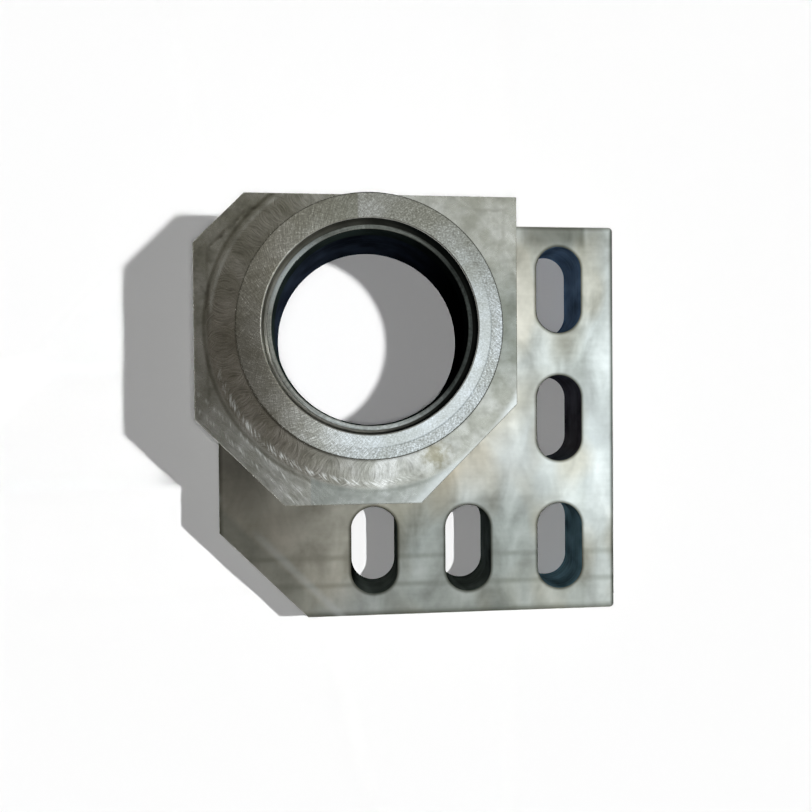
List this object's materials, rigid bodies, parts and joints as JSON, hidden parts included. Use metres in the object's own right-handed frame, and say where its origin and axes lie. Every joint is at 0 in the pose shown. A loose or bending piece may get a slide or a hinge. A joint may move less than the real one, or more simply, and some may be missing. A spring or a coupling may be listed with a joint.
{
  "type": "pillow block bearing housing",
  "caption": "Milled steel bearing housing: a tall block with bevelled corners, a round boss and a stepped bore stands on a thick base plate with slotted bolt holes.",
  "frame": {"origin": "on the bore axis, in the plane of the base plate's underside", "axes": "+Z along the bore axis from the underside to the boss face, +X towards the column of slots, +Y towards the side that the block and the plate share at the back"},
  "size_m": [0.151, 0.148, 0.06],
  "materials": {
    "milled_steel": "satin"
  },
  "bodies": {
    "root": {"housing": "milled_steel"}
  },
  "joints": []
}
